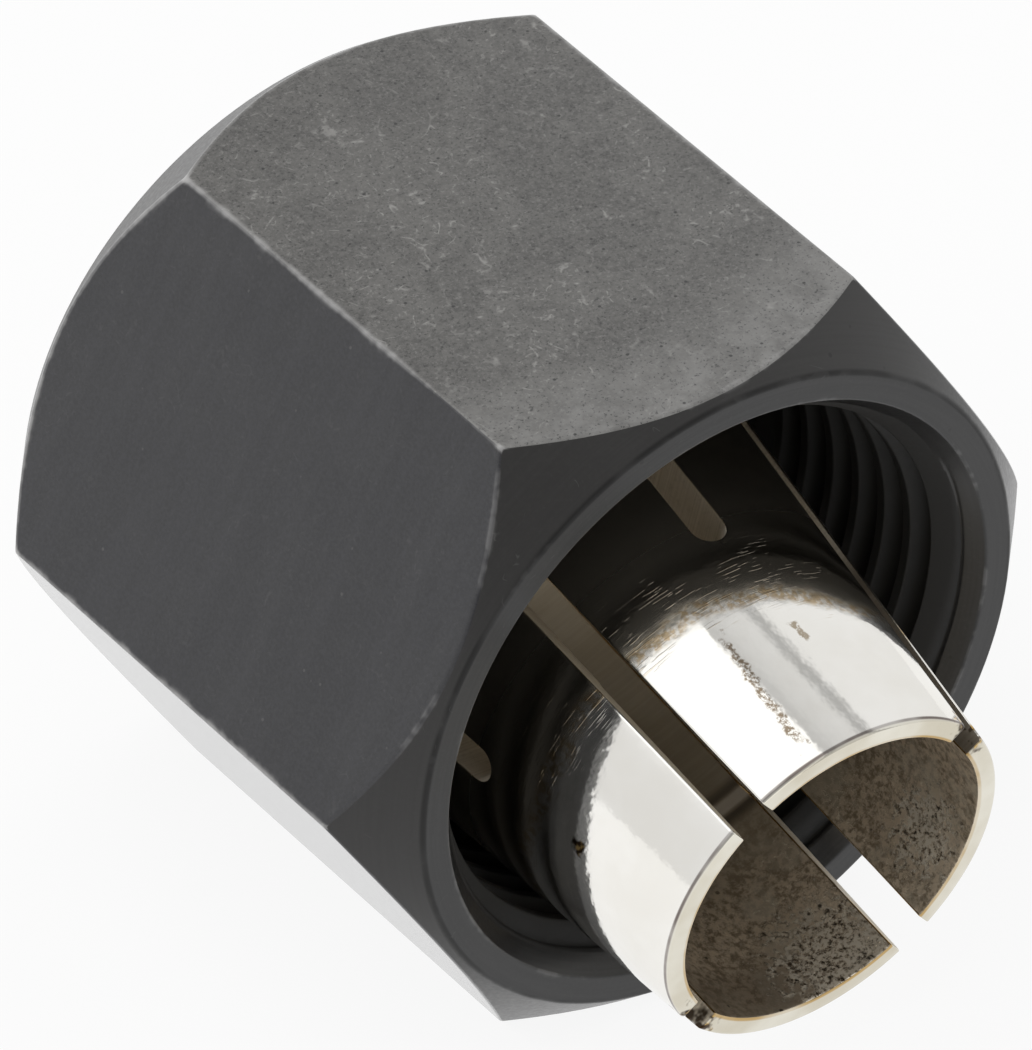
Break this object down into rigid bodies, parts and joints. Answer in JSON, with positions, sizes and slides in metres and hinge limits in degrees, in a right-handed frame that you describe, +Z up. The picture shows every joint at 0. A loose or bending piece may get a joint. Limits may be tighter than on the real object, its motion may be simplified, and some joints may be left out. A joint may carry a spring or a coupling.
{
  "type": "router collet",
  "caption": "Hexagonal collet nut for a wood router, lying on a flat, with its tapered split collet hanging loosely in the threaded mouth on a wire ring.",
  "frame": {"origin": "centre of the hexagon flat that the nut lies on, under the middle of the nut's length", "axes": "+Z up, out of the opposite flat; the nut's axis runs along Y, with the threaded mouth and the collet's tail towards -Y; +X across the corners"},
  "size_m": [0.033, 0.0342, 0.0286],
  "materials": {
    "nut_steel": "black oxide on turned steel, satin, scuffed",
    "collet_nickel": "bright nickel plate over turned steel, brownish and pitted inside",
    "ring_wire": "plain oiled spring wire"
  },
  "bodies": {
    "nut": {"collet_nut": "nut_steel"},
    "ring": {"retaining_ring": "ring_wire"},
    "collet": {"split_collet": "collet_nickel"}
  },
  "joints": [
    {"name": "collet_tilt", "type": "hinge", "parent": "nut", "child": "ring", "pos_m": [0, 0.00679, 0.01429], "axis": [-0.9936, 0, 0.1132], "range_deg": [0, 16.2]},
    {"name": "collet_spin", "type": "hinge", "parent": "ring", "child": "collet", "pos_m": [0, 0.00679, 0.01429], "axis": [-0.016, -0.99, -0.1405], "continuous": true}
  ]
}
